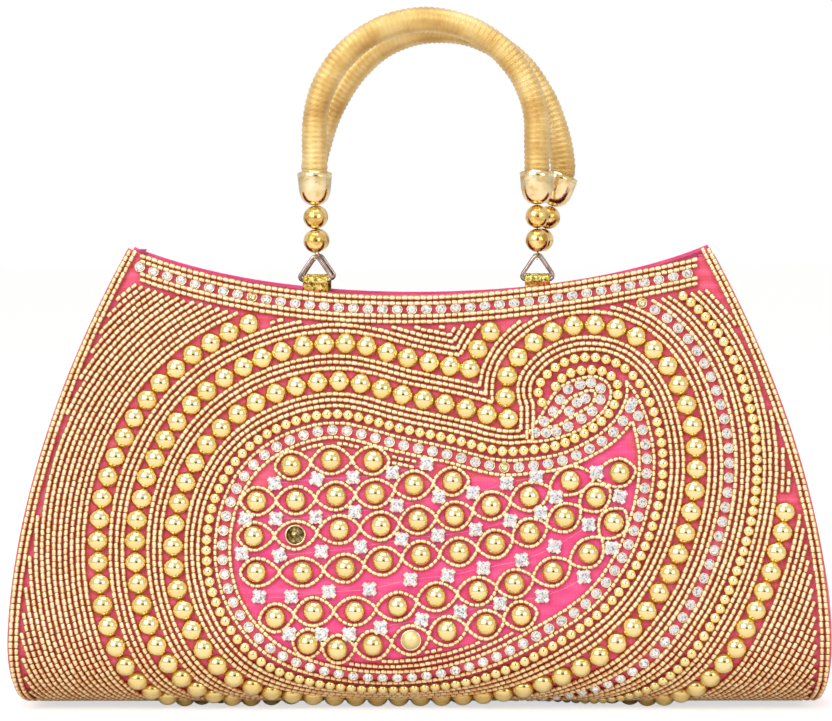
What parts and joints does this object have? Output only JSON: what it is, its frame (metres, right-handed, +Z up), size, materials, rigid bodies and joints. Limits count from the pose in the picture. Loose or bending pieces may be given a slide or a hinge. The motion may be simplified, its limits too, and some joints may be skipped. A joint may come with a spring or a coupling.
{
  "type": "clutch bag",
  "caption": "Beaded clutch bag with a curved open mouth, a paisley of sewn beads and bugle rows, and two arch handles wound with thread that swing on triangle rings",
  "frame": {"origin": "under the middle of the bag's width and whole depth, beads included, on the surface it stands on", "axes": "+X to the right of the beaded front, +Y from the front to the back, +Z up"},
  "size_m": [0.314, 0.0764, 0.2662],
  "materials": {
    "silk": "satin",
    "lining": "satin",
    "board": "matte",
    "snap": "polished",
    "beads": "metallised gold",
    "stones": "faceted crystal",
    "bugles": "champagne gold",
    "thread": "satin thread",
    "caps": "pale gold plate",
    "rings": "nickel plate",
    "tabs": "lurex"
  },
  "bodies": {
    "bag": {"front_cover": "silk", "back_cover": "silk", "left_gusset": "silk", "right_gusset": "silk", "left_gusset_lining": "lining", "right_gusset_lining": "lining", "lining": "lining", "front_board": "board", "back_board": "board", "base_board": "board", "snap_socket": "snap", "snap_stud": "snap", "bead_row_outer_left": "beads", "bead_row_middle": "beads", "bead_row_inner": "beads", "bead_row_outer_right": "beads", "lattice": "beads", "small_bead_string": "beads", "small_bead_row_right": "beads", "stone_chain_paisley": "stones", "stone_chain_right": "stones", "stone_chain_top": "stones", "curl_rows": "stones", "bugle_rows_paisley": "bugles", "bugle_rows_inner": "bugles", "bugle_rows_middle": "bugles", "bugle_rows_left": "bugles", "bugle_rows_right": "bugles", "bugle_field_left": "bugles", "bugle_field_right": "bugles", "bugle_border_top": "bugles", "bugle_border_sides": "bugles", "front_tab_left": "tabs", "front_tab_right": "tabs", "back_tab_left": "tabs", "back_tab_right": "tabs"},
    "front_ring_left": {"front_ring_left": "rings"},
    "front_ring_right": {"front_ring_right": "rings"},
    "front_handle": {"front_handle_grip": "thread", "front_cap_left": "caps", "front_cap_right": "caps", "front_bead_lower_left": "beads", "front_bead_lower_right": "beads", "front_bead_upper_left": "beads", "front_bead_upper_right": "beads", "front_link_left": "caps", "front_link_right": "caps"},
    "back_ring_left": {"back_ring_left": "rings"},
    "back_ring_right": {"back_ring_right": "rings"},
    "back_handle": {"back_handle_grip": "thread", "back_cap_left": "caps", "back_cap_right": "caps", "back_bead_lower_left": "beads", "back_bead_lower_right": "beads", "back_bead_upper_left": "beads", "back_bead_upper_right": "beads", "back_link_left": "caps", "back_link_right": "caps"}
  },
  "joints": [
    {"name": "front_ring_left_swing", "type": "hinge", "parent": "bag", "child": "front_ring_left", "pos_m": [-0.0392, -0.01006, 0.1626], "axis": [1, 0, 0], "range_deg": [-1.5, 90]},
    {"name": "front_ring_right_swing", "type": "hinge", "parent": "bag", "child": "front_ring_right", "pos_m": [0.0452, -0.01006, 0.1626], "axis": [1, 0, 0], "range_deg": [-1.5, 90]},
    {"name": "front_handle_swing", "type": "hinge", "parent": "front_ring_left", "child": "front_handle", "pos_m": [0.003, -0.01006, 0.17166], "axis": [1, 0, 0], "range_deg": [-2, 70]},
    {"name": "back_ring_left_swing", "type": "hinge", "parent": "bag", "child": "back_ring_left", "pos_m": [-0.0392, 0.01426, 0.1626], "axis": [-1, 0, 0], "range_deg": [-1.5, 90]},
    {"name": "back_ring_right_swing", "type": "hinge", "parent": "bag", "child": "back_ring_right", "pos_m": [0.0452, 0.01426, 0.1626], "axis": [-1, 0, 0], "range_deg": [-1.5, 90]},
    {"name": "back_handle_swing", "type": "hinge", "parent": "back_ring_left", "child": "back_handle", "pos_m": [0.003, 0.01426, 0.17166], "axis": [-1, 0, 0], "range_deg": [-2, 70]}
  ],
  "couplings": [
    {"joint": "front_ring_right_swing", "follows": "front_ring_left_swing", "ratio": 1},
    {"joint": "back_ring_right_swing", "follows": "back_ring_left_swing", "ratio": 1}
  ]
}
